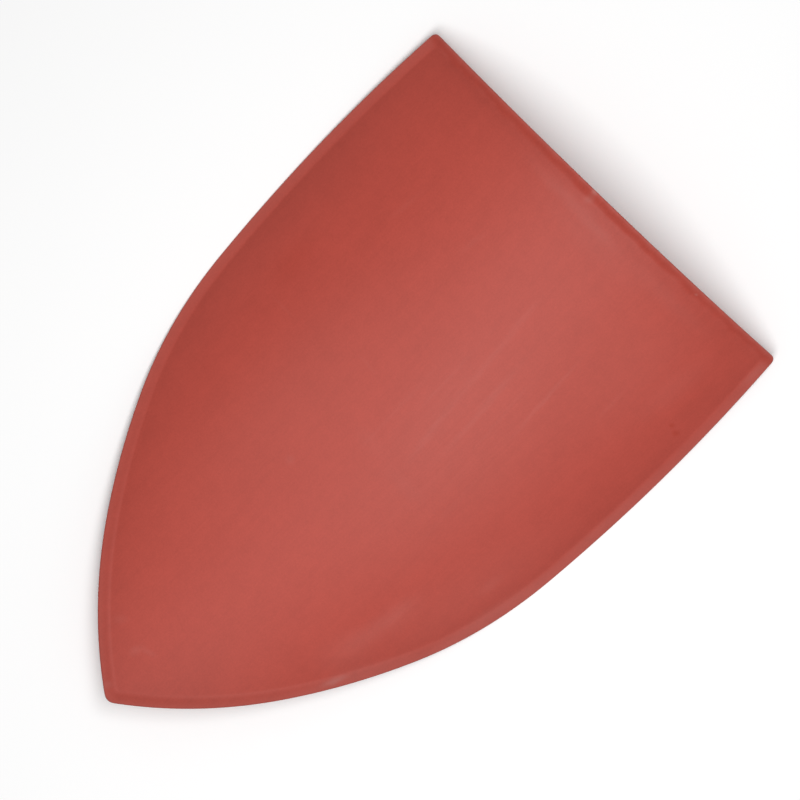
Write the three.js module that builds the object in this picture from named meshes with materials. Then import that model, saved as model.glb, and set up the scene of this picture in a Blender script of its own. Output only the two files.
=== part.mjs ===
// Heraldic heater shield: one moulded shell, bowed across its width, its edge turned forward as a narrow lip.
// Millimetres, +Z up. The shield lies loose, front up, on the edges of its two long sides.
// +X is the right-hand side as seen from the front, +Y points to the straight top edge and -Y to the point.
// The origin is below the middle of the shield, on the surface that it lies on.
import * as THREE from "three";

// Driving dimensions. The fold at the foot of the lip is laid out flat, before the shell is bowed.
const SHELL = { thickness: 4, bowRadius: 443 };
const FOLD = {
  topHalfWidth: 248,
  topOutOfSquare: THREE.MathUtils.degToRad(0.78),
  sideLean: THREE.MathUtils.degToRad(5.4),
  sideArcs: [
    { radius: 1634, length: 323 },
    { radius: 423, length: 162 },
    { radius: 928, length: 140 },
  ],
  pointArcRadius: 620,
  cornerRounding: 5,
  pointRounding: 6,
};
const LIP = {
  angle: THREE.MathUtils.degToRad(15),
  bendRadius: 10,
  straight: 10,
  topShare: 0.8,
  cornerRounding: 7,
  pointRounding: 9,
};
const REST = { tilt: THREE.MathUtils.degToRad(3.1), flatDepth: 0.8 };
const SPINE = { top: -170, bottom: -610 };
const STEPS = { top: 24, corner: 4, side: 42, point: 4, bend: 3, nose: 4, field: 9, measured: 400 };
const WELD_DECIMALS = 3;
const PAINT = { color: 0xb5554c, roughness: 0.55, metalness: 0 };

// The side of the fold is a chain of arcs. A point of an arc lies at its heading from the arc's centre.
function sideArcs() {
  const arcs = [];
  const start = new THREE.Vector2(FOLD.topHalfWidth, 0);
  let heading = FOLD.sideLean;
  for (const { radius, length } of [...FOLD.sideArcs, { radius: FOLD.pointArcRadius, length: 0 }]) {
    const outward = new THREE.Vector2(Math.cos(heading), Math.sin(heading));
    const centre = start.clone().addScaledVector(outward, -radius);
    const end = heading - length / radius;
    arcs.push({ centre, radius, from: heading, to: end });
    start.set(centre.x + radius * Math.cos(end), centre.y + radius * Math.sin(end));
    heading = end;
  }
  return arcs;
}

// One side, moved out by an offset and cut off by the top line and by the centre line. The top line
// moves out less, by the share that the lip has there. side is 1 at the right, -1 at the left.
function sideCurve(offset, side) {
  const arcs = sideArcs().map((arc) => ({ ...arc, radius: arc.radius + offset }));
  const slope = side * FOLD.topOutOfSquare;
  const first = arcs[0];
  const topOffset = offset * LIP.topShare;
  const rise = (Math.tan(slope) * first.centre.x - first.centre.y) * Math.cos(slope) + topOffset;
  first.from = slope + Math.asin(rise / first.radius);
  const last = arcs[arcs.length - 1];
  last.to = -Math.acos(-last.centre.x / last.radius);
  const path = new THREE.CurvePath();
  for (const { centre, radius, from, to } of arcs) {
    path.add(new THREE.ArcCurve(centre.x, centre.y, radius, from, to, true));
  }
  path.arcLengthDivisions = STEPS.measured;
  return path;
}

function mirrored(point, side) {
  return new THREE.Vector2(side * point.x, point.y);
}

// Points inside a rounded corner, from one end of the rounding to the other, without its ends.
function roundedCorner(from, corner, to, steps) {
  return new THREE.QuadraticBezierCurve(from, corner, to).getPoints(steps).slice(1, -1);
}

// The closed outline at an offset from the fold, clockwise from the top left.
function outline(offset, cornerRounding, pointRounding) {
  const sides = {};
  for (const side of [1, -1]) {
    const curve = sideCurve(offset, side);
    const length = curve.getLength();
    const stations = [];
    for (let i = 0; i <= STEPS.side; i++) {
      const run = length - cornerRounding - pointRounding;
      const along = cornerRounding + (run * i) / STEPS.side;
      stations.push(mirrored(curve.getPointAt(along / length), side));
    }
    sides[side] = { corner: mirrored(curve.getPointAt(0), side), point: curve.getPointAt(1), stations };
  }
  const right = sides[1];
  const left = sides[-1];
  const topRun = right.corner.clone().sub(left.corner);
  const inset = cornerRounding / topRun.length();
  const top = [];
  for (let i = 0; i <= STEPS.top; i++) {
    top.push(left.corner.clone().addScaledVector(topRun, inset + ((1 - 2 * inset) * i) / STEPS.top));
  }
  return [
    ...top,
    ...roundedCorner(top[STEPS.top], right.corner, right.stations[0], STEPS.corner),
    ...right.stations,
    ...roundedCorner(right.stations[STEPS.side], right.point, left.stations[STEPS.side], STEPS.point),
    ...left.stations.reverse(),
    ...roundedCorner(left.stations[STEPS.side], left.corner, top[0], STEPS.corner),
  ];
}

// The middle line that the field closes on: each station of the fold, moved to the centre at its height.
function spine(fold) {
  const rightStart = STEPS.top + STEPS.corner;
  const pointStart = rightStart + STEPS.side;
  const leftStart = pointStart + STEPS.point;
  return fold.map((point, i) => {
    let partner = point;
    if (i >= rightStart && i <= pointStart) partner = fold[leftStart + pointStart - i];
    if (i >= leftStart && i <= leftStart + STEPS.side) partner = fold[pointStart + leftStart - i];
    const height = i < rightStart || i > leftStart + STEPS.side ? SPINE.top : (point.y + partner.y) / 2;
    return new THREE.Vector2(0, THREE.MathUtils.clamp(height, SPINE.bottom, SPINE.top));
  });
}

// A flat point is wrapped round the bow; lift is its height in front of the shell's front face.
function bow(flat, lift) {
  const turn = flat.x / SHELL.bowRadius;
  const radius = SHELL.bowRadius + lift;
  return new THREE.Vector3(radius * Math.sin(turn), flat.y, radius * Math.cos(turn) - SHELL.bowRadius);
}

// The lip's section, out and up, from the foot of its front over its round edge to the foot of its back.
function lipSection() {
  const section = [];
  const arc = (centre, radius, from, to, steps) => {
    for (let i = 0; i <= steps; i++) {
      const angle = from + ((to - from) * i) / steps;
      const step = new THREE.Vector2(Math.sin(angle), -Math.cos(angle));
      section.push(centre.clone().addScaledVector(step, radius));
    }
  };
  const bendCentre = new THREE.Vector2(0, LIP.bendRadius);
  arc(bendCentre, LIP.bendRadius, 0, LIP.angle, STEPS.bend);
  const along = new THREE.Vector2(Math.cos(LIP.angle), Math.sin(LIP.angle));
  const backward = new THREE.Vector2(Math.sin(LIP.angle), -Math.cos(LIP.angle));
  const half = SHELL.thickness / 2;
  const edgeCentre = bendCentre.clone();
  edgeCentre.addScaledVector(backward, LIP.bendRadius + half).addScaledVector(along, LIP.straight);
  arc(edgeCentre, half, LIP.angle + Math.PI, LIP.angle, STEPS.nose);
  arc(bendCentre, LIP.bendRadius + SHELL.thickness, LIP.angle, 0, STEPS.bend);
  return section;
}

// All rings of the shell, from the middle of the front, out round the lip, to the middle of the back.
function shellRings() {
  const section = lipSection();
  const reach = Math.max(...section.map((point) => point.x));
  const fold = outline(0, FOLD.cornerRounding, FOLD.pointRounding);
  const edge = outline(reach, LIP.cornerRounding, LIP.pointRounding);
  const middle = spine(fold);
  const fieldRing = (share, lift) => fold.map((point, i) => bow(point.clone().lerp(middle[i], share), lift));
  const lipRing = ({ x, y }) => fold.map((point, i) => bow(point.clone().lerp(edge[i], x / reach), y));
  const shares = Array.from({ length: STEPS.field }, (_, i) => 1 - i / STEPS.field);
  return [
    ...shares.map((share) => fieldRing(share, 0)),
    ...section.map(lipRing),
    ...shares.reverse().map((share) => fieldRing(share, -SHELL.thickness)),
  ];
}

// Joins neighbouring rings with triangles. Points that fall together are one, and slivers are left out.
function skin(rings) {
  const positions = [];
  const known = new Map();
  const indexOf = (point) => {
    const key = point.toArray().map((value) => value.toFixed(WELD_DECIMALS)).join();
    if (!known.has(key)) {
      known.set(key, positions.length / 3);
      positions.push(...point.toArray());
    }
    return known.get(key);
  };
  const index = [];
  const triangle = (a, b, c) => {
    if (a !== b && b !== c && c !== a) index.push(a, b, c);
  };
  for (let ring = 0; ring + 1 < rings.length; ring++) {
    const inner = rings[ring].map(indexOf);
    const outer = rings[ring + 1].map(indexOf);
    inner.forEach((a, i) => {
      const next = (i + 1) % inner.length;
      triangle(a, outer[next], outer[i]);
      triangle(a, inner[next], outer[next]);
    });
  }
  const geometry = new THREE.BufferGeometry();
  geometry.setAttribute("position", new THREE.Float32BufferAttribute(positions, 3));
  geometry.setIndex(index);
  return geometry;
}

// Lays the shell down, point a little low, and dresses its two lowest stretches flat where it lies.
function layDown(geometry) {
  geometry.rotateX(REST.tilt);
  geometry.computeBoundingBox();
  const { min, max } = geometry.boundingBox;
  geometry.translate(-(min.x + max.x) / 2, -(min.y + max.y) / 2, -min.z - REST.flatDepth);
  const position = geometry.getAttribute("position");
  for (let i = 0; i < position.count; i++) position.setZ(i, Math.max(position.getZ(i), 0));
  geometry.computeVertexNormals();
  return geometry;
}

const shield = new THREE.Mesh(layDown(skin(shellRings())), new THREE.MeshStandardMaterial(PAINT));
shield.name = "shield";

const group = new THREE.Group();
group.add(shield);
export default group;
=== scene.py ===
"""A plain red heater shield, lying front up: moulded shell, rubbed paint, floor, light and camera."""

import logging
import math
from dataclasses import dataclass, field
from enum import Enum

import bpy
import numpy as np
from mathutils import Matrix, Vector


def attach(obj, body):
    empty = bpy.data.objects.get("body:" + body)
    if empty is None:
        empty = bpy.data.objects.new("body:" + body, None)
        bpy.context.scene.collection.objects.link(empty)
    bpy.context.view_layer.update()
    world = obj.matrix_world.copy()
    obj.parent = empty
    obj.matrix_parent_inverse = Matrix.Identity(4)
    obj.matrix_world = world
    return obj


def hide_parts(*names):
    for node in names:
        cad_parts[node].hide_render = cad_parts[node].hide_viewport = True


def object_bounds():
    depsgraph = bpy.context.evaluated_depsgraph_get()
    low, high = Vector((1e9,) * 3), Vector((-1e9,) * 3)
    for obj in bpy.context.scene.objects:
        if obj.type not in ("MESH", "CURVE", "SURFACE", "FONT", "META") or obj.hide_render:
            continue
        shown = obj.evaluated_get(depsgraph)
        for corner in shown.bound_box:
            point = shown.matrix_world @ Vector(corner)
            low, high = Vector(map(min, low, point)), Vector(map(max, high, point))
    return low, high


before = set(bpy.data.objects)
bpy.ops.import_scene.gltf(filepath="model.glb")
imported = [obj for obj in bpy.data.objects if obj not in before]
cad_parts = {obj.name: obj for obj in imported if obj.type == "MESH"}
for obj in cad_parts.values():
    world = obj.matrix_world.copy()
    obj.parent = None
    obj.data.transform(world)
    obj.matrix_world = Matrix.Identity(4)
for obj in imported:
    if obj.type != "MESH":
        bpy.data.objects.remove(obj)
CAD_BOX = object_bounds()
WELD_DECIMALS = 6
LOG = logging.getLogger("shield")
Socket = bpy.types.NodeSocket

# Where a noise texture centres, and the range that most of it falls in, for tones and for streaks.
NOISE_MIDDLE = 0.5
NOISE_SPAN = (0.25, 0.75)
STREAK_SPAN = (0.3, 0.7)


class Hand(Enum):
    """A side of the shield as seen from the front."""

    RIGHT = 1
    LEFT = -1


class Mark(Enum):
    """What a mark does to the paint.

    The pale kind is smooth dust and also painted highlight, the rubbed kind is dust and painted highlight in
    streaks on paint worn smoother, the staining kind darkens, for stains and for painted shade, and the grime
    kind also dulls, for grime and for painted shade.
    """

    DUST_AND_HIGHLIGHT = "dust_and_sheen"
    RUB_AND_HIGHLIGHT = "rub_and_sheen"
    STAIN_AND_SHADE = "stain_and_shade"
    GRIME_AND_SHADE = "grime_and_shade"


@dataclass(frozen=True)
class Arc:
    """A stretch of the side, run from its start heading down to its end heading.

    A point of the arc lies at its heading, in radians, from the arc's centre.
    """

    centre: tuple[float, float]
    radius: float
    start: float
    end: float

    @property
    def length(self) -> float:
        """Length along the arc."""
        return self.radius * (self.start - self.end)

    def at(self, distance: float) -> tuple[float, float]:
        """Gives the point at a distance along the arc.

        Args:
            distance: metres from the arc's start.

        Returns:
            The point's flat x and y.
        """
        heading = self.start - distance / self.radius
        x = self.centre[0] + self.radius * math.cos(heading)
        y = self.centre[1] + self.radius * math.sin(heading)
        return x, y


@dataclass(frozen=True)
class FoldLine:
    """The fold at the foot of the lip, laid out flat, in metres. The whole shell is set out from it.

    side_runs holds the radius and the length of each arc of a side, from the top down. The last arc, of
    point_radius, runs to the centre line. The top line moves out by top_share of what the sides do.
    """

    top_half_width: float = 0.248
    out_of_square: float = math.radians(0.78)
    side_lean: float = math.radians(5.4)
    side_runs: tuple[tuple[float, float], ...] = ((1.634, 0.323), (0.423, 0.162), (0.928, 0.140))
    point_radius: float = 0.620
    top_share: float = 0.8

    def arcs(self) -> list[Arc]:
        """Walks down the right side from the top.

        Returns:
            The side's arcs, each starting where the one before it ends.
        """
        arcs: list[Arc] = []
        x, y, heading = self.top_half_width, 0.0, self.side_lean
        for radius, length in (*self.side_runs, (self.point_radius, 0.0)):
            centre = (x - radius * math.cos(heading), y - radius * math.sin(heading))
            end = heading - length / radius
            arcs.append(Arc(centre, radius, heading, end))
            x = centre[0] + radius * math.cos(end)
            y = centre[1] + radius * math.sin(end)
            heading = end
        return arcs

    def side(self, offset: float, hand: Hand) -> list[Arc]:
        """Moves one side out and cuts it off at the top line and at the centre line.

        Args:
            offset: metres outward from the fold. The top line moves by the lip's share there.
            hand: which side; only the slope of the top line differs.

        Returns:
            The arcs, laid out as the right side's.
        """
        arcs = [Arc(a.centre, a.radius + offset, a.start, a.end) for a in self.arcs()]
        slope = hand.value * self.out_of_square
        first, last = arcs[0], arcs[-1]
        top_offset = offset * self.top_share
        rise = (math.tan(slope) * first.centre[0] - first.centre[1]) * math.cos(slope) + top_offset
        arcs[0] = Arc(first.centre, first.radius, slope + math.asin(rise / first.radius), first.end)
        arcs[-1] = Arc(last.centre, last.radius, last.start, -math.acos(-last.centre[0] / last.radius))
        return arcs


@dataclass(frozen=True)
class Stations:
    """How many steps each stretch of the outline is cut into."""

    top: int = 140
    corner: int = 8
    side: int = 240
    point: int = 8


def along_side(arcs: list[Arc], distance: float) -> tuple[float, float]:
    """Finds a point on a chain of arcs.

    Args:
        arcs: the chain.
        distance: metres from its start.

    Returns:
        The point's flat x and y.
    """
    for arc in arcs[:-1]:
        if distance <= arc.length:
            return arc.at(distance)
        distance -= arc.length
    return arcs[-1].at(distance)


def rounded(start: np.ndarray, corner: np.ndarray, end: np.ndarray, steps: int) -> list[np.ndarray]:
    """Rounds a corner off with a curve that leaves along both of its edges.

    Args:
        start: where the rounding starts.
        corner: the sharp corner.
        end: where the rounding ends.
        steps: how many steps it has.

    Returns:
        The points between start and end, without them.
    """
    shares = [i / steps for i in range(1, steps)]
    return [(1 - t) ** 2 * start + 2 * t * (1 - t) * corner + t * t * end for t in shares]


def outline(fold: FoldLine, offset: float, corner: float, point: float, steps: Stations) -> np.ndarray:
    """Lays out the closed outline at an offset from the fold, clockwise from the top left.

    Args:
        fold: the fold line.
        offset: metres outward from it.
        corner: how far from a top corner its rounding starts.
        point: how far from the point its rounding starts.
        steps: how finely it is cut.

    Returns:
        One row of flat x and y for each station.
    """
    sides: dict[Hand, list[np.ndarray]] = {}
    corners: dict[Hand, np.ndarray] = {}
    tip = np.zeros(2)
    for hand in Hand:
        arcs = fold.side(offset, hand)
        mirror = np.array([hand.value, 1.0])
        length = sum(arc.length for arc in arcs)
        spots = [corner + (length - corner - point) * i / steps.side for i in range(steps.side + 1)]
        sides[hand] = [np.array(along_side(arcs, spot)) * mirror for spot in spots]
        corners[hand] = np.array(arcs[0].at(0.0)) * mirror
        tip = np.array(arcs[-1].at(arcs[-1].length))
    right, left = sides[Hand.RIGHT], sides[Hand.LEFT]
    run = corners[Hand.RIGHT] - corners[Hand.LEFT]
    inset = corner / float(np.linalg.norm(run))
    shares = [inset + (1 - 2 * inset) * i / steps.top for i in range(steps.top + 1)]
    top = [corners[Hand.LEFT] + run * share for share in shares]
    return np.array([
        *top,
        *rounded(top[-1], corners[Hand.RIGHT], right[0], steps.corner),
        *right,
        *rounded(right[-1], tip, left[-1], steps.point),
        *reversed(left),
        *rounded(left[0], corners[Hand.LEFT], top[0], steps.corner),
    ])


def distance_to_loop(points: np.ndarray, loop: np.ndarray) -> np.ndarray:
    """Measures how far points lie from a closed line.

    Args:
        points: rows of x and y.
        loop: the line's corners.

    Returns:
        One distance for each point.
    """
    run = np.roll(loop, -1, axis=0) - loop
    gap = points[:, None] - loop[None]
    share = ((gap * run).sum(2) / (run * run).sum(1)).clip(0, 1)
    return np.linalg.norm(gap - share[..., None] * run, axis=2).min(1)


@dataclass(frozen=True)
class LipSection:
    """The lip's section: a bend at the fold, a straight, and a round edge."""

    thickness: float = 0.004
    angle: float = math.radians(15)
    bend_radius: float = 0.010
    straight: float = 0.010
    bend_steps: int = 5
    straight_steps: int = 6
    edge_steps: int = 10

    def bend(self, radius: float) -> list[Vector]:
        """The bend's points at a radius from its centre, out and up, from the field to the straight."""
        turns = [self.angle * i / self.bend_steps for i in range(self.bend_steps + 1)]
        return [Vector((radius * math.sin(t), self.bend_radius - radius * math.cos(t))) for t in turns]

    def straight_run(self, foot: Vector) -> list[Vector]:
        """Steps along a straight face.

        Args:
            foot: where the face starts.

        Returns:
            The points between its foot and its end.
        """
        along = Vector((math.cos(self.angle), math.sin(self.angle)))
        steps = self.straight_steps
        return [foot + along * (self.straight * i / steps) for i in range(1, steps)]

    def round_edge(self) -> list[Vector]:
        """Goes over the edge.

        Returns:
            The points from the front face to the back one.
        """
        along = Vector((math.cos(self.angle), math.sin(self.angle)))
        back = Vector((math.sin(self.angle), -math.cos(self.angle)))
        half = self.thickness / 2
        centre = Vector((0, self.bend_radius)) + back * (self.bend_radius + half) + along * self.straight
        turns = [math.pi * i / self.edge_steps for i in range(self.edge_steps + 1)]
        return [centre - back * (half * math.cos(t)) + along * (half * math.sin(t)) for t in turns]

    def points(self) -> np.ndarray:
        """Runs round the whole section.

        Returns:
            Rows of out and up, from the foot of the front face to the foot of the back one.
        """
        front = self.bend(self.bend_radius)
        back = self.bend(self.bend_radius + self.thickness)
        rim = [*front, *self.straight_run(front[-1]), *self.round_edge()]
        hidden = [*reversed(self.straight_run(back[-1])), *reversed(back)]
        return np.array([tuple(p) for p in (*rim, *hidden)])


@dataclass
class Board:
    """Lays nodes out in a tree, with short calls for the kinds that this part uses."""

    tree: bpy.types.NodeTree

    def node(self, kind: str, **values: object) -> bpy.types.Node:
        """Adds a node.

        Args:
            kind: the node's type.
            values: its properties.

        Returns:
            The node.
        """
        made = self.tree.nodes.new(kind)
        for name, value in values.items():
            setattr(made, name, value)
        return made

    def feed(self, socket: Socket, value: object) -> None:
        """Links a socket to another one, or sets its value.

        Args:
            socket: the socket.
            value: another socket, or a value.
        """
        if isinstance(value, Socket):
            self.tree.links.new(value, socket)
        else:
            socket.default_value = value

    def math(self, operation: str, *values: object, clamp: bool = False) -> Socket:
        """Adds a math node.

        Args:
            operation: what it does.
            values: its inputs, sockets or numbers.
            clamp: whether the result stays between 0 and 1.

        Returns:
            The result.
        """
        made = self.node("ShaderNodeMath", operation=operation, use_clamp=clamp)
        for socket, value in zip(made.inputs, values):
            self.feed(socket, value)
        return made.outputs[0]

    def vector(self, operation: str, *values: object) -> Socket:
        """Adds a vector math node.

        Args:
            operation: what it does.
            values: its inputs, sockets or vectors.

        Returns:
            The result, a vector or for a length a number.
        """
        made = self.node("ShaderNodeVectorMath", operation=operation)
        for socket, value in zip(made.inputs, values):
            self.feed(socket, value)
        return made.outputs["Value"] if operation == "LENGTH" else made.outputs[0]

    def noise(self, at: object, scale: float, detail: float, rough: float = 0.5) -> Socket:
        """Adds a noise texture.

        Args:
            at: where it is read.
            scale: how many of its lumps a metre holds.
            detail: how many finer layers it has.
            rough: how strong each finer layer is beside the one before it.

        Returns:
            The noise, around a half.
        """
        made = self.node("ShaderNodeTexNoise", noise_dimensions="2D")
        self.feed(made.inputs["Vector"], at)
        made.inputs["Scale"].default_value = scale
        made.inputs["Detail"].default_value = detail
        made.inputs["Roughness"].default_value = rough
        return made.outputs[0]

    def remap(self, value: object, low: float, high: float, start: float, end: float) -> Socket:
        """Eases a value from one range to another.

        Args:
            value: the value.
            low: where the old range starts.
            high: where the old range ends.
            start: the result at low.
            end: the result at high.

        Returns:
            The eased value.
        """
        made = self.node("ShaderNodeMapRange", interpolation_type="SMOOTHSTEP")
        names = ("Value", "From Min", "From Max", "To Min", "To Max")
        for name, given in zip(names, (value, low, high, start, end)):
            self.feed(made.inputs[name], given)
        return made.outputs[0]


@dataclass(frozen=True)
class Spot:
    """A placed mark: a soft ellipse in flat metres, x to the right, y up from the middle of the top fold.

    strength is what it adds at its centre, and turn is in degrees, anticlockwise.
    """

    kind: Mark
    x: float
    y: float
    half_width: float
    half_length: float
    strength: float
    turn: float = 0.0


# Broad, faint pale patches over the field: wear, and in the middle and on the right a painted highlight of
# the light's sheen.
BROAD_WEAR_AND_HIGHLIGHT = (
    Spot(Mark.DUST_AND_HIGHLIGHT, 0.020, -0.225, 0.200, 0.340, 0.010),
    Spot(Mark.DUST_AND_HIGHLIGHT, 0.125, -0.245, 0.135, 0.340, 0.016),
    Spot(Mark.DUST_AND_HIGHLIGHT, 0.160, -0.090, 0.075, 0.125, 0.010),
    Spot(Mark.DUST_AND_HIGHLIGHT, 0.205, -0.390, 0.060, 0.190, 0.014, -12),
    Spot(Mark.DUST_AND_HIGHLIGHT, -0.090, -0.370, 0.095, 0.250, 0.014),
)

# Streaks rubbed lengthwise, smoother and paler, their paleness partly painted highlight in the light's sheen,
# most of them right of the middle, and two dark ones between them.
STREAKS = (
    Spot(Mark.RUB_AND_HIGHLIGHT, 0.025, -0.250, 0.045, 0.140, 0.004, 2),
    Spot(Mark.RUB_AND_HIGHLIGHT, 0.083, -0.300, 0.078, 0.220, 0.004, 3),
    Spot(Mark.RUB_AND_HIGHLIGHT, 0.027, -0.132, 0.006, 0.036, 0.006, 2),
    Spot(Mark.RUB_AND_HIGHLIGHT, 0.034, -0.200, 0.006, 0.104, 0.007, 4),
    Spot(Mark.RUB_AND_HIGHLIGHT, 0.043, -0.288, 0.007, 0.067, 0.009, 8),
    Spot(Mark.RUB_AND_HIGHLIGHT, 0.062, -0.210, 0.007, 0.067, 0.008, 4),
    Spot(Mark.RUB_AND_HIGHLIGHT, 0.067, -0.262, 0.006, 0.060, 0.005, 3),
    Spot(Mark.RUB_AND_HIGHLIGHT, 0.104, -0.175, 0.004, 0.085, 0.010, 4),
    Spot(Mark.RUB_AND_HIGHLIGHT, 0.160, -0.138, 0.004, 0.033, 0.007, 3),
    Spot(Mark.RUB_AND_HIGHLIGHT, 0.085, -0.235, 0.003, 0.080, 0.006, 4),
    Spot(Mark.RUB_AND_HIGHLIGHT, 0.016, -0.230, 0.003, 0.090, 0.005, 2),
    Spot(Mark.RUB_AND_HIGHLIGHT, 0.116, -0.330, 0.004, 0.090, 0.005, 3),
    Spot(Mark.RUB_AND_HIGHLIGHT, 0.001, -0.300, 0.004, 0.080, 0.005, 1),
    Spot(Mark.RUB_AND_HIGHLIGHT, -0.065, -0.116, 0.006, 0.025, 0.007, -10),
    Spot(Mark.RUB_AND_HIGHLIGHT, -0.144, -0.138, 0.006, 0.035, 0.006, -6),
    Spot(Mark.STAIN_AND_SHADE, 0.055, -0.267, 0.004, 0.073, 0.010, 6),
    Spot(Mark.STAIN_AND_SHADE, 0.124, -0.279, 0.007, 0.094, 0.008),
)

# Small pale patches over the field, a round one with a dark middle, and a dull patch at the left.
PATCHES = (
    Spot(Mark.DUST_AND_HIGHLIGHT, 0.004, -0.339, 0.029, 0.014, 0.006),
    Spot(Mark.DUST_AND_HIGHLIGHT, 0.062, -0.347, 0.042, 0.014, 0.006),
    Spot(Mark.DUST_AND_HIGHLIGHT, -0.163, -0.307, 0.027, 0.003, 0.007, 4),
    Spot(Mark.DUST_AND_HIGHLIGHT, -0.054, -0.283, 0.021, 0.003, 0.007, -6),
    Spot(Mark.DUST_AND_HIGHLIGHT, 0.212, -0.367, 0.010, 0.023, 0.012, -8),
    Spot(Mark.DUST_AND_HIGHLIGHT, -0.042, -0.413, 0.008, 0.008, 0.014),
    Spot(Mark.STAIN_AND_SHADE, -0.042, -0.413, 0.003, 0.003, 0.020),
    Spot(Mark.GRIME_AND_SHADE, -0.192, -0.267, 0.027, 0.048, 0.022),
)

# Under the top lip: a pale band, a painted highlight where the field tilts to catch the light, with a line
# below it, a dark left corner, painted shade on the side away from the light, and a rubbed and smudged right
# one.
TOP_MARKS = (
    Spot(Mark.DUST_AND_HIGHLIGHT, -0.023, -0.014, 0.088, 0.012, 0.020),
    Spot(Mark.DUST_AND_HIGHLIGHT, 0.023, -0.018, 0.040, 0.011, 0.012),
    Spot(Mark.DUST_AND_HIGHLIGHT, 0.112, -0.016, 0.094, 0.014, 0.010),
    Spot(Mark.DUST_AND_HIGHLIGHT, 0.018, -0.030, 0.115, 0.017, 0.007),
    Spot(Mark.STAIN_AND_SHADE, 0.039, -0.043, 0.083, 0.002, 0.013),
    Spot(Mark.STAIN_AND_SHADE, -0.197, -0.027, 0.094, 0.052, 0.022),
    Spot(Mark.DUST_AND_HIGHLIGHT, 0.199, -0.080, 0.022, 0.068, 0.009, -6),
    Spot(Mark.STAIN_AND_SHADE, 0.231, -0.073, 0.010, 0.083, 0.034, -3),
    Spot(Mark.GRIME_AND_SHADE, 0.240, -0.113, 0.009, 0.006, 0.050),
    Spot(Mark.GRIME_AND_SHADE, 0.229, -0.110, 0.006, 0.005, 0.050, 40),
)

# The right shoulder: a long pale patch, smoother down its middle, a dark patch below it, painted shade where
# the shoulder turns from the light, and a bright stretch of worn edge.
SHOULDER_MARKS = (
    Spot(Mark.DUST_AND_HIGHLIGHT, 0.159, -0.462, 0.024, 0.058, 0.014, -7),
    Spot(Mark.DUST_AND_HIGHLIGHT, 0.148, -0.498, 0.019, 0.044, 0.014, -15),
    Spot(Mark.RUB_AND_HIGHLIGHT, 0.156, -0.457, 0.012, 0.040, 0.010, -8),
    Spot(Mark.DUST_AND_HIGHLIGHT, 0.148, -0.525, 0.036, 0.050, 0.013, -25),
    Spot(Mark.STAIN_AND_SHADE, 0.152, -0.536, 0.048, 0.016, 0.038, 34),
    Spot(Mark.STAIN_AND_SHADE, 0.116, -0.563, 0.036, 0.022, 0.026),
    Spot(Mark.DUST_AND_HIGHLIGHT, 0.161, -0.555, 0.005, 0.022, 0.055, -27),
)

# Near the point: a hooked pale mark, smaller pale ones, a thin scratch and a darker end, painted shade where
# the light falls off towards the point.
POINT_MARKS = (
    Spot(Mark.DUST_AND_HIGHLIGHT, -0.016, -0.677, 0.007, 0.011, 0.020, -15),
    Spot(Mark.DUST_AND_HIGHLIGHT, -0.006, -0.668, 0.015, 0.006, 0.015, 10),
    Spot(Mark.DUST_AND_HIGHLIGHT, -0.051, -0.664, 0.013, 0.008, 0.012, 40),
    Spot(Mark.DUST_AND_HIGHLIGHT, -0.011, -0.724, 0.009, 0.006, 0.020, 50),
    Spot(Mark.STAIN_AND_SHADE, 0.002, -0.695, 0.073, 0.056, 0.030),
    Spot(Mark.STAIN_AND_SHADE, 0.043, -0.653, 0.073, 0.062, 0.032),
    Spot(Mark.STAIN_AND_SHADE, 0.000, -0.622, 0.028, 0.002, 0.040, -24),
)

# On the lip: a dull strip along the top, darker as painted shade on the lip's face turned from the light,
# darker still at the left, small chips in it, and dust down the right.
LIP_MARKS = (
    Spot(Mark.GRIME_AND_SHADE, -0.003, 0.006, 1.200, 0.008, 0.056, 0.78),
    Spot(Mark.STAIN_AND_SHADE, -0.180, -0.001, 0.190, 0.015, 0.048, 0.78),
    Spot(Mark.DUST_AND_HIGHLIGHT, -0.012, 0.010, 0.006, 0.004, 0.080),
    Spot(Mark.DUST_AND_HIGHLIGHT, -0.011, 0.002, 0.008, 0.010, 0.040),
    Spot(Mark.DUST_AND_HIGHLIGHT, 0.139, 0.008, 0.003, 0.002, 0.060),
    Spot(Mark.DUST_AND_HIGHLIGHT, 0.256, -0.013, 0.007, 0.026, 0.022),
    Spot(Mark.DUST_AND_HIGHLIGHT, 0.259, -0.239, 0.009, 0.135, 0.014, -3),
    Spot(Mark.DUST_AND_HIGHLIGHT, 0.239, -0.390, 0.012, 0.130, 0.022, -14),
    Spot(Mark.DUST_AND_HIGHLIGHT, 0.174, -0.535, 0.012, 0.100, 0.018, -30),
)


@dataclass(frozen=True)
class Unevenness:
    """A layer of lighter and darker lumps in the paint.

    lumps is how many a metre holds across the shield, and length is how much longer they are along it.
    detail is how many finer layers they have, and rough how strong each is beside the one before it.
    """

    lumps: float
    length: float
    detail: float
    rough: float
    depth: float

    def noise(self, board: Board, flat: Socket) -> Socket:
        """The layer's noise, its lumps drawn out along the shield."""
        drawn = board.vector("MULTIPLY", flat, (1.0, 1.0 / self.length, 1.0))
        return board.noise(drawn, self.lumps, self.detail, self.rough)

    def add_to(self, board: Board, tone: Socket, noise: Socket) -> Socket:
        """Adds the layer's share to a tone."""
        return board.math("ADD", tone, board.remap(noise, *NOISE_SPAN, -self.depth, self.depth))


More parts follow.
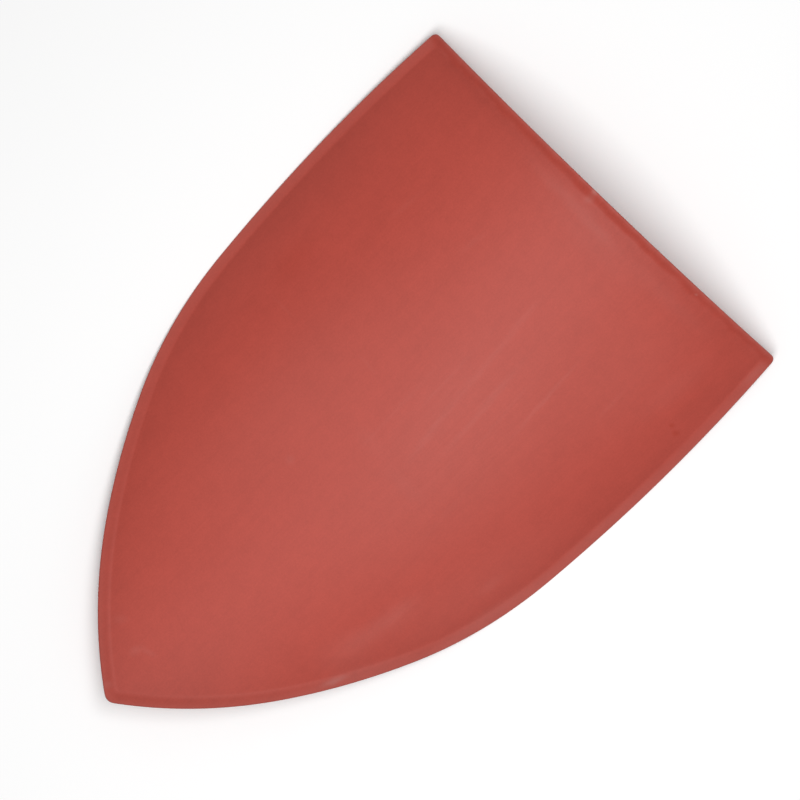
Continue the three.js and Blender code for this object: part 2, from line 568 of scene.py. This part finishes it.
@dataclass(frozen=True)
class RubbedPaint:
    """Semi-matt brick red with a faint grain down the shield, soft wear and a duller, dusty rim.

    Shades, painted highlights, wear, stains and painted shade are changes of the red's tone, and dust, haze
    and painted sheen are shares of the pale colour over it. Reaches and widths are metres from the edge. The
    lip is painted paler to the left of left_highlight_to, most at left_highlight_from, a painted highlight
    where the light falls on its left side, and is darker below low_from, most at low_to, painted shade
    towards the point.
    """

    red: tuple[float, float, float] = (0.452, 0.0665, 0.0465)
    # The pale colour of dust, also used for painted sheen and highlights.
    dust_and_sheen_colour: tuple[float, float, float] = (0.80, 0.74, 0.70)
    roughness: float = 0.55
    gloss: float = 0.25
    rub_shine: float = 1.5
    rub_by_hair: tuple[float, float] = (0.3, 0.6)
    rub_by_grain: tuple[float, float] = (0.2, 1.1)
    grime_matt: float = 16.0
    patches: Unevenness = Unevenness(lumps=11.0, length=1.0, detail=2.0, rough=0.5, depth=0.012)
    mottle: Unevenness = Unevenness(lumps=45.0, length=1.0, detail=5.0, rough=1.0, depth=0.040)
    speckle: Unevenness = Unevenness(lumps=480.0, length=1.0, detail=2.0, rough=0.5, depth=0.024)
    grain: Unevenness = Unevenness(lumps=83.0, length=11.0, detail=3.0, rough=0.9, depth=0.015)
    hairs: Unevenness = Unevenness(lumps=330.0, length=50.0, detail=2.0, rough=0.5, depth=0.005)
    rim_shade: float = 0.20
    rim_reach: float = 0.0286
    rim_flat: float = 0.021
    # A pale line right at the edge: partly dust and wear, partly a painted highlight on the rounded edge.
    rim_dust_and_highlight: float = 0.050
    rim_line_reach: float = 0.0035
    lip_width: float = 0.0137
    lip_softness: float = 0.004
    # Dust on the lip, partly a painted sheen where the lip catches the light.
    lip_dust_and_sheen: float = 0.014
    # The lip painted paler towards its left: a painted highlight where the light falls on it.
    lip_left_highlight: float = 0.048
    left_highlight_from: float = -0.26
    left_highlight_to: float = 0.05
    # A pale line along the fold: a painted highlight.
    fold_highlight: float = 0.024
    fold_reach: float = 0.0035
    # The lip darker towards the point: painted shade.
    low_shade: float = 0.088
    low_matt: float = 7.0
    low_from: float = -0.30
    low_to: float = -0.64
    ragged_lumps: float = 60.0
    ragged_detail: float = 1.0
    ragged_shift: tuple[float, float, float] = (0.003, 0.006, 0.0)
    bump_strength: float = 0.10
    bump_depth: float = 0.0004
    spots: tuple[Spot, ...] = (
        *BROAD_WEAR_AND_HIGHLIGHT, *STREAKS, *PATCHES, *TOP_MARKS, *SHOULDER_MARKS, *POINT_MARKS, *LIP_MARKS,
    )

    def spot_mask(self, board: Board, flat: Socket, kind: Mark) -> object:
        """Adds up the soft ellipses of one kind of mark.

        Args:
            board: the material's board.
            flat: flat coordinates in metres.
            kind: which marks to add.

        Returns:
            Their sum, or 0 where there are none.
        """
        total: object = 0.0
        for spot in self.spots:
            if spot.kind is not kind:
                continue
            place = board.node("ShaderNodeMapping", vector_type="TEXTURE")
            board.feed(place.inputs["Vector"], flat)
            place.inputs["Location"].default_value = (spot.x, spot.y, 0.0)
            place.inputs["Rotation"].default_value = (0.0, 0.0, math.radians(spot.turn))
            place.inputs["Scale"].default_value = (spot.half_width, spot.half_length, 1.0)
            reach = board.vector("LENGTH", place.outputs[0])
            total = board.math("ADD", total, board.remap(reach, 0.0, 1.0, spot.strength, 0.0))
        return total

    @staticmethod
    def fade(board: Board, distance: Socket, reach: float, depth: float) -> Socket:
        """Fades a depth out with the distance from the edge."""
        share = board.math("EXPONENT", board.math("DIVIDE", distance, -reach))
        return board.math("MULTIPLY", share, depth)

    def ragged(self, board: Board, flat: Socket) -> Socket:
        """Shifts the flat coordinates a little, which makes the marks' outlines ragged.

        Args:
            board: the material's board.
            flat: flat coordinates in metres.

        Returns:
            The shifted coordinates.
        """
        noise = board.node("ShaderNodeTexNoise", noise_dimensions="2D")
        board.feed(noise.inputs["Vector"], flat)
        noise.inputs["Scale"].default_value = self.ragged_lumps
        noise.inputs["Detail"].default_value = self.ragged_detail
        centred = board.vector("SUBTRACT", noise.outputs["Color"], (NOISE_MIDDLE,) * 3)
        return board.vector("ADD", flat, board.vector("MULTIPLY", centred, self.ragged_shift))

    def rim_tone(self, board: Board, across: Socket, edge: Socket, lip: Socket) -> Socket:
        """Adds up what the rim does to the red: darker inside the lip, paler on its left and at the fold.

        Args:
            board: the material's board.
            across: flat x in metres.
            edge: distance from the edge in metres.
            lip: 1 on the lip, 0 off it.

        Returns:
            The change of tone.
        """
        level = board.math("MAXIMUM", edge, self.rim_flat)
        shade = self.fade(board, level, self.rim_reach, -self.rim_shade)
        # Painted highlight: the lip paler towards its left.
        left_lit = board.remap(across, self.left_highlight_from, self.left_highlight_to, self.lip_left_highlight, 0.0)
        # Painted highlight: a pale line along the fold.
        from_fold = board.math("ABSOLUTE", board.math("SUBTRACT", edge, self.lip_width))
        fold_glint = board.remap(from_fold, 0.0, self.fold_reach, self.fold_highlight, 0.0)
        return board.math("ADD", board.math("MULTIPLY_ADD", lip, left_lit, shade), fold_glint)

    def dust_and_sheen(self, board: Board, marks: Socket, rub_and_sheen: Socket, edge: Socket, lip_whitening: Socket) -> Socket:
        """Adds up the dust and painted sheen: the placed marks, the lip's, and a pale line right at the edge,
        partly wear and partly painted highlight on the rounded edge.

        Args:
            board: the material's board.
            marks: flat coordinates, shifted for the marks.
            rub_and_sheen: the dust and painted highlight that lie in streaks.
            edge: distance from the edge in metres.
            lip_whitening: the dust and painted sheen on the lip.

        Returns:
            The share of dust and painted sheen over the red, from 0 to 1.
        """
        placed = board.math("ADD", rub_and_sheen, self.spot_mask(board, marks, Mark.DUST_AND_HIGHLIGHT))
        line = self.fade(board, edge, self.rim_line_reach, self.rim_dust_and_highlight)
        return board.math("ADD", board.math("ADD", placed, lip_whitening), line, clamp=True)

    def colour(self, board: Board, tone: Socket, dust_and_sheen: Socket) -> Socket:
        """Mixes the red, at its tone, with dust and painted sheen.

        Args:
            board: the material's board.
            tone: how bright the red is, around 1.
            dust_and_sheen: the share of dust and painted sheen.

        Returns:
            The colour.
        """
        tinted = board.vector("SCALE", self.red)
        board.feed(tinted.node.inputs["Scale"], tone)
        mix = board.node("ShaderNodeMix", data_type="VECTOR")
        factor, _, _, _, from_red, to_dust_and_sheen = mix.inputs[:6]
        board.feed(factor, dust_and_sheen)
        board.feed(from_red, tinted)
        board.feed(to_dust_and_sheen, self.dust_and_sheen_colour)
        return mix.outputs[1]

    def material(self) -> bpy.types.Material:
        """Builds the material.

        Returns:
            The material.
        """
        made = bpy.data.materials.new("rubbed_red_paint")
        made.use_nodes = True
        board = Board(made.node_tree)
        shader = made.node_tree.nodes["Principled BSDF"].inputs
        flat = board.node("ShaderNodeUVMap", uv_map="flat").outputs[0]
        split = board.node("ShaderNodeSeparateXYZ")
        board.feed(split.inputs[0], flat)
        edge = board.node("ShaderNodeAttribute", attribute_name="edge_distance").outputs["Fac"]
        marks = self.ragged(board, flat)
        inside, outside = self.lip_width - self.lip_softness, self.lip_width + self.lip_softness
        lip = board.remap(edge, inside, outside, 1.0, 0.0)
        # Painted shade: the lip darker towards the point, and duller there.
        low = board.remap(split.outputs["Y"], self.low_to, self.low_from, self.low_shade, 0.0)
        lower_lip_shade = board.math("MULTIPLY", lip, low)
        # Stain and grime marks, some of them painted shade.
        stain_and_shade = board.math("ADD", lower_lip_shade, self.spot_mask(board, marks, Mark.STAIN_AND_SHADE))
        grime_and_shade = self.spot_mask(board, marks, Mark.GRIME_AND_SHADE)
        glossy = board.math("SUBTRACT", 1.0, board.math("MULTIPLY", grime_and_shade, self.grime_matt))
        clean = board.math("SUBTRACT", glossy, board.math("MULTIPLY", lower_lip_shade, self.low_matt), clamp=True)

        layers = (self.patches, self.mottle, self.speckle, self.grain, self.hairs)
        noises = [layer.noise(board, flat) for layer in layers]
        *_, speckle, grain, hairs = noises
        tone = board.math("ADD", 1.0, self.rim_tone(board, split.outputs["X"], edge, lip))
        for layer, noise in zip(layers, noises):
            tone = layer.add_to(board, tone, noise)
        tone = board.math("SUBTRACT", tone, board.math("ADD", stain_and_shade, grime_and_shade))

        rub_and_sheen = self.spot_mask(board, marks, Mark.RUB_AND_HIGHLIGHT)
        by_hair = board.remap(hairs, *STREAK_SPAN, *self.rub_by_hair)
        by_grain = board.remap(grain, *STREAK_SPAN, *self.rub_by_grain)
        # The rubbed streaks' paleness is partly painted highlight.
        streaks = board.math("MULTIPLY", rub_and_sheen, board.math("ADD", by_hair, by_grain))
        # Dust on the lip, partly painted sheen.
        lip_whitening = board.math("MULTIPLY", board.math("MULTIPLY", lip, self.lip_dust_and_sheen), clean)
        dust_and_sheen = self.dust_and_sheen(board, marks, streaks, edge, lip_whitening)
        board.feed(shader["Base Color"], self.colour(board, tone, dust_and_sheen))
        shine = board.math("MULTIPLY", rub_and_sheen, self.rub_shine)
        board.feed(shader["Roughness"], board.math("SUBTRACT", self.roughness, shine))
        shader["Specular IOR Level"].default_value = self.gloss
        board.feed(shader["Specular IOR Level"], board.math("MULTIPLY", clean, self.gloss))
        bump = board.node("ShaderNodeBump")
        bump.inputs["Strength"].default_value = self.bump_strength
        bump.inputs["Distance"].default_value = self.bump_depth
        board.feed(bump.inputs["Height"], board.math("ADD", speckle, grain))
        board.feed(shader["Normal"], bump.outputs[0])
        return made


@dataclass
class Shell:
    """The shield's one piece: a shell bowed across its width, its edge turned forward as a lip.

    The field's rings close on the middle line between spine_top and spine_bottom. The corner and point sizes
    say how far from a corner its rounding starts.
    """

    bow_radius: float = 0.443
    fold: FoldLine = field(default_factory=FoldLine)
    lip: LipSection = field(default_factory=LipSection)
    stations: Stations = field(default_factory=Stations)
    fold_corner: float = 0.005
    fold_point: float = 0.006
    lip_corner: float = 0.007
    lip_point: float = 0.009
    spine_top: float = -0.170
    spine_bottom: float = -0.610
    front_rings: int = 60
    back_rings: int = 24
    tilt: float = math.radians(3.1)
    flat_depth: float = 0.0008
    uneven_depth: float = 0.0006
    uneven_scale: float = 7.0
    uneven_detail: float = 1.0
    seed: float = 4.0
    rest: Matrix = field(default_factory=Matrix)

    def spine(self, fold: np.ndarray) -> np.ndarray:
        """Finds where each station's line meets the middle line.

        Args:
            fold: the stations on the fold.

        Returns:
            One flat point for each station.
        """
        steps = self.stations
        right = steps.top + steps.corner
        point = right + steps.side
        left = point + steps.point
        heights = np.full(len(fold), self.spine_top)
        pair = (fold[right:point + 1, 1] + fold[left:left + steps.side + 1, 1][::-1]) / 2
        heights[right:point + 1] = pair
        heights[left:left + steps.side + 1] = pair[::-1]
        heights[point + 1:left] = self.spine_bottom
        return np.stack([np.zeros(len(fold)), np.clip(heights, self.spine_bottom, self.spine_top)], 1)

    def rings(self) -> np.ndarray:
        """Lays all rings out flat, from the middle of the front, out round the lip, to the back's middle.

        Returns:
            For each ring and station: flat x and y, lift before the front face, distance from the edge.
        """
        section = self.lip.points()
        reach = float(section[:, 0].max())
        fold = outline(self.fold, 0.0, self.fold_corner, self.fold_point, self.stations)
        edge = outline(self.fold, reach, self.lip_corner, self.lip_point, self.stations)
        middle = self.spine(fold)
        steps = np.linalg.norm(np.diff(section, axis=0), axis=1)
        run = np.concatenate([[0.0], np.cumsum(steps)])
        crown = run[int(section[:, 0].argmax())]
        rows: list[np.ndarray] = []
        for i in range(self.front_rings):
            rows.append(self.field_ring(fold, middle, 1 - i / self.front_rings, 0.0, crown))
        for (out, up), gone in zip(section, run):
            rows.append(self.row(fold + (edge - fold) * (out / reach), up, abs(crown - gone)))
        back_crown = run[-1] - crown
        for i in range(1, self.back_rings + 1):
            rows.append(self.field_ring(fold, middle, i / self.back_rings, -self.lip.thickness, back_crown))
        return np.array(rows)

    def field_ring(
        self, fold: np.ndarray, middle: np.ndarray, share: float, lift: float, crown: float
    ) -> np.ndarray:
        """One ring of the bowed field, a share of the way from the fold to the middle line."""
        flat = fold + (middle - fold) * share
        return self.row(flat, lift, distance_to_loop(flat, fold) + crown)

    @staticmethod
    def row(flat: np.ndarray, lift: float, edge: object) -> np.ndarray:
        """Puts a ring's flat points beside their lift and their distance from the edge."""
        size = len(flat)
        return np.column_stack([flat, np.full(size, lift), np.broadcast_to(edge, size)])

    def blank(self) -> bpy.types.Object:
        """Makes the flat blank, with its lift and its distance from the edge as attributes.

        Returns:
            The blank, linked to the scene.
        """
        rings = self.rings()
        count, width, _ = rings.shape
        places = rings[:, :, :3].reshape(-1, 3).round(WELD_DECIMALS)
        rows, first, index = np.unique(places, axis=0, return_index=True, return_inverse=True)
        index = index.reshape(count, width)
        faces: list[list[int]] = []
        for ring in range(count - 1):
            for i in range(width):
                step = (i + 1) % width
                loop = [index[ring, i], index[ring, step], index[ring + 1, step], index[ring + 1, i]]
                corners = [int(v) for k, v in enumerate(loop) if v != loop[k - 1]]
                if len(set(corners)) == len(corners) and len(corners) > 2:
                    faces.append(corners)
        mesh = bpy.data.meshes.new("shield_shell")
        mesh.from_pydata([(x, y, 0.0) for x, y, _ in rows], [], faces)
        exact = rings.reshape(-1, 4)[first]
        mesh.attributes.new("lift", "FLOAT", "POINT").data.foreach_set("value", exact[:, 2])
        mesh.attributes.new("edge_distance", "FLOAT", "POINT").data.foreach_set("value", exact[:, 3])
        flat = mesh.uv_layers.new(name="flat")
        corner_points = np.array([rows[loop.vertex_index][:2] for loop in mesh.loops])
        flat.data.foreach_set("uv", corner_points.ravel())
        mesh.polygons.foreach_set("use_smooth", [True] * len(mesh.polygons))
        made = bpy.data.objects.new("shield_shell", mesh)
        bpy.context.scene.collection.objects.link(made)
        return made

    def forming_tree(self) -> bpy.types.NodeTree:
        """Builds the nodes that wrap the flat blank round its bow and tip it as it lies.

        Returns:
            The tree, with its sizes as named inputs.
        """
        tree = bpy.data.node_groups.new("form_shell", "GeometryNodeTree")
        face = tree.interface
        face.new_socket("Geometry", in_out="INPUT", socket_type="NodeSocketGeometry")
        for name in ("Bow Radius", "Tilt", "Uneven Depth", "Uneven Scale", "Seed"):
            face.new_socket(name, in_out="INPUT", socket_type="NodeSocketFloat")
        face.new_socket("Paint", in_out="INPUT", socket_type="NodeSocketMaterial")
        face.new_socket("Geometry", in_out="OUTPUT", socket_type="NodeSocketGeometry")
        board = Board(tree)
        given = board.node("NodeGroupInput").outputs
        place = board.node("GeometryNodeInputPosition").outputs[0]
        split = board.node("ShaderNodeSeparateXYZ")
        board.feed(split.inputs[0], place)
        lift = board.node("GeometryNodeInputNamedAttribute", data_type="FLOAT")
        lift.inputs["Name"].default_value = "lift"

        wave = board.node("ShaderNodeTexNoise", noise_dimensions="4D")
        board.feed(wave.inputs["Vector"], place)
        board.feed(wave.inputs["W"], given["Seed"])
        board.feed(wave.inputs["Scale"], given["Uneven Scale"])
        wave.inputs["Detail"].default_value = self.uneven_detail
        centred = board.math("SUBTRACT", wave.outputs[0], NOISE_MIDDLE)
        dent = board.math("MULTIPLY", centred, given["Uneven Depth"])

        turn = board.math("DIVIDE", split.outputs["X"], given["Bow Radius"])
        radius = board.math("ADD", board.math("ADD", given["Bow Radius"], lift.outputs["Attribute"]), dent)
        join = board.node("ShaderNodeCombineXYZ")
        board.feed(join.inputs["X"], board.math("MULTIPLY", radius, board.math("SINE", turn)))
        board.feed(join.inputs["Y"], split.outputs["Y"])
        depth = board.math("MULTIPLY", radius, board.math("COSINE", turn))
        board.feed(join.inputs["Z"], board.math("SUBTRACT", depth, given["Bow Radius"]))
        tip = board.node("ShaderNodeVectorRotate", rotation_type="X_AXIS")
        board.feed(tip.inputs["Vector"], join.outputs[0])
        board.feed(tip.inputs["Angle"], given["Tilt"])

        formed = board.node("GeometryNodeSetPosition")
        board.feed(formed.inputs["Geometry"], given["Geometry"])
        board.feed(formed.inputs["Position"], tip.outputs[0])
        real = board.node("GeometryNodeRealizeInstances")
        board.feed(real.inputs[0], formed.outputs[0])
        painted = board.node("GeometryNodeSetMaterial")
        board.feed(painted.inputs["Geometry"], real.outputs[0])
        board.feed(painted.inputs["Material"], given["Paint"])
        board.feed(board.node("NodeGroupOutput").inputs[0], painted.outputs[0])
        return tree

    def form(self, blank: bpy.types.Object, paint: bpy.types.Material) -> bpy.types.Object:
        """Runs the forming nodes over the blank and turns the result into a plain mesh.

        Args:
            blank: the flat blank.
            paint: the material to give it.

        Returns:
            The formed shell, where it lies.
        """
        tree = self.forming_tree()
        values = {
            "Bow Radius": self.bow_radius,
            "Tilt": self.tilt,
            "Uneven Depth": self.uneven_depth,
            "Uneven Scale": self.uneven_scale,
            "Seed": self.seed,
            "Paint": paint,
        }
        modifier = blank.modifiers.new("form", "NODES")
        modifier.node_group = tree
        for item in tree.interface.items_tree:
            if item.in_out == "INPUT" and item.name in values:
                modifier[item.identifier] = values[item.name]
        graph = bpy.context.evaluated_depsgraph_get()
        mesh = bpy.data.meshes.new_from_object(blank.evaluated_get(graph))
        blank.modifiers.remove(modifier)
        blank.data = mesh
        mesh.materials.clear()
        mesh.materials.append(paint)
        self.lay_down(mesh)
        return blank

    def lay_down(self, mesh: bpy.types.Mesh) -> None:
        """Moves the formed shell to where it lies in the frame, and dresses its two lowest stretches flat.

        Args:
            mesh: the formed mesh.
        """
        points = np.empty(len(mesh.vertices) * 3)
        mesh.vertices.foreach_get("co", points)
        points = points.reshape(-1, 3)
        low, high = points.min(0), points.max(0)
        cad_low, cad_high = np.array(CAD_BOX[0]), np.array(CAD_BOX[1])
        move = (cad_low + cad_high - low - high) / 2
        move[2] = -self.flat_depth - low[2]
        points += move
        points[:, 2] = points[:, 2].clip(0.0, None)
        mesh.vertices.foreach_set("co", points.ravel())
        mesh.update()
        self.rest = Matrix.Translation(Vector(move)) @ Matrix.Rotation(self.tilt, 4, "X")

    def make(self, paint: RubbedPaint) -> bpy.types.Object:
        """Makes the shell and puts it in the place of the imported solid.

        Args:
            paint: its finish.

        Returns:
            The finished piece.
        """
        piece = self.form(self.blank(), paint.material())
        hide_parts("shield")
        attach(piece, "root")
        return piece


@dataclass(frozen=True)
class Camera:
    """The photograph's camera, placed from the shield's own axes: top fold at y = 0, bow's crest at z = 0.

    pixel is the width in metres that one pixel covers at the camera's distance.
    """

    aim: tuple[float, float, float] = (0.0, -0.375, -0.040)
    distance: float = 3.0
    above_square: float = math.radians(8.72)
    to_right: float = math.radians(-0.83)
    roll: float = math.radians(44.725)
    slide: tuple[float, float] = (-0.00321, 0.08244)
    pixel: float = 0.00106
    frame_pixels: float = 800.0
    sensor: float = 36.0
    far: float = 20.0

    def make(self, rest: Matrix) -> bpy.types.Object:
        """Makes the scene's camera.

        Args:
            rest: how the shield's own axes lie in the scene.

        Returns:
            The camera.
        """
        rise, side = self.above_square, self.to_right
        back = Vector((math.sin(side) * math.cos(rise), math.sin(rise), math.cos(rise) * math.cos(side)))
        across = Vector((0, 1, 0)).cross(back).normalized()
        up = back.cross(across)
        spot = Vector(self.aim) + back * self.distance + across * self.slide[0] + up * self.slide[1]
        cosine, sine = math.cos(self.roll), math.sin(self.roll)
        axis_x = across * cosine + up * sine
        axis_y = up * cosine - across * sine
        local = Matrix((axis_x, axis_y, back)).transposed().to_4x4()
        local.translation = spot
        data = bpy.data.cameras.new("camera")
        data.sensor_width = self.sensor
        data.lens = self.distance / self.pixel * self.sensor / self.frame_pixels
        data.clip_end = self.far
        made = bpy.data.objects.new("camera", data)
        bpy.context.scene.collection.objects.link(made)
        made.matrix_world = rest @ local
        bpy.context.scene.camera = made
        return made


@dataclass(frozen=True)
class SoftLight:
    """A rectangular soft light, aimed at the shield."""

    name: str
    spot: tuple[float, float, float]
    width: float
    depth: float
    power: float
    aim: tuple[float, float, float] = (0.0, 0.0, 0.05)

    def make(self) -> bpy.types.Object:
        """Makes the light.

        Returns:
            The light.
        """
        data = bpy.data.lights.new(self.name, "AREA")
        data.shape = "RECTANGLE"
        data.size = self.width
        data.size_y = self.depth
        data.energy = self.power
        made = bpy.data.objects.new(self.name, data)
        bpy.context.scene.collection.objects.link(made)
        made.location = self.spot
        made.rotation_euler = (Vector(self.aim) - Vector(self.spot)).to_track_quat("-Z", "Y").to_euler()
        return made


@dataclass(frozen=True)
class Studio:
    """A plain pale floor under soft lights."""

    floor_side: float = 12.0
    white: tuple[float, float, float, float] = (1.0, 1.0, 1.0, 1.0)
    floor_roughness: float = 0.9
    floor_gloss: float = 0.1
    fill: float = 0.265
    lights: tuple[SoftLight, ...] = (
        SoftLight("overhead", spot=(0.25, 0.08, 2.5), width=2.7, depth=0.9, power=58.0),
    )

    def floor(self) -> bpy.types.Object:
        """Makes the floor.

        Returns:
            The floor.
        """
        half = self.floor_side / 2
        corners = [(-half, -half, 0), (half, -half, 0), (half, half, 0), (-half, half, 0)]
        mesh = bpy.data.meshes.new("floor")
        mesh.from_pydata(corners, [], [range(4)])
        made = bpy.data.objects.new("floor", mesh)
        bpy.context.scene.collection.objects.link(made)
        pale = bpy.data.materials.new("pale_floor")
        pale.use_nodes = True
        shader = pale.node_tree.nodes["Principled BSDF"]
        shader.inputs["Base Color"].default_value = self.white
        shader.inputs["Roughness"].default_value = self.floor_roughness
        shader.inputs["Specular IOR Level"].default_value = self.floor_gloss
        mesh.materials.append(pale)
        return made

    def make(self) -> None:
        """Makes the floor, the lights and the soft fill from all round."""
        self.floor()
        for light in self.lights:
            light.make()
        world = bpy.data.worlds.new("fill")
        world.use_nodes = True
        background = world.node_tree.nodes["Background"].inputs
        background["Color"].default_value = self.white
        background["Strength"].default_value = self.fill
        bpy.context.scene.world = world
        bpy.context.scene.view_settings.view_transform = "Standard"


def main() -> None:
    """Builds the shield, its camera and its studio, in that order."""
    logging.basicConfig(level=logging.INFO, format="%(name)s: %(message)s")
    shell = Shell()
    piece = shell.make(RubbedPaint())
    LOG.info("%s: %d faces", piece.name, len(piece.data.polygons))
    Camera().make(shell.rest)
    Studio().make()


if __name__ == "__main__":
    main()
